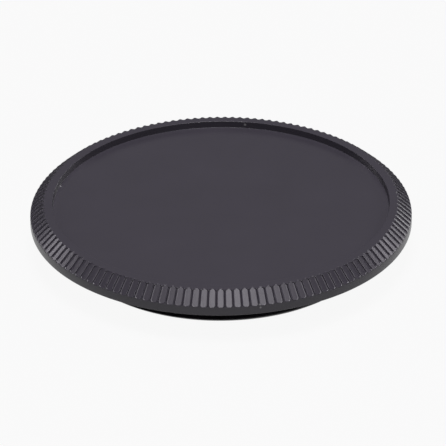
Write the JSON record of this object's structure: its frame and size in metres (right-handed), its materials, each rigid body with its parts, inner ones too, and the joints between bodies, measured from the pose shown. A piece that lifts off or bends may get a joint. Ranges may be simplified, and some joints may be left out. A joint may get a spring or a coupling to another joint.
{
  "type": "camera body cap",
  "caption": "Round screw-in cap that closes a camera body's lens opening, with a recessed face, a fluted bevel and a threaded collar underneath.",
  "frame": {"origin": "middle of the collar's open end, on the cap's axis", "axes": "+Z along the cap's axis, from the collar towards the outer face; one flute is centred on -Y"},
  "size_m": [0.053, 0.053, 0.0071],
  "materials": {
    "cap_plastic": "fine matte moulded black-grey plastic"
  },
  "bodies": {
    "root": {"body_cap": "cap_plastic"}
  },
  "joints": []
}
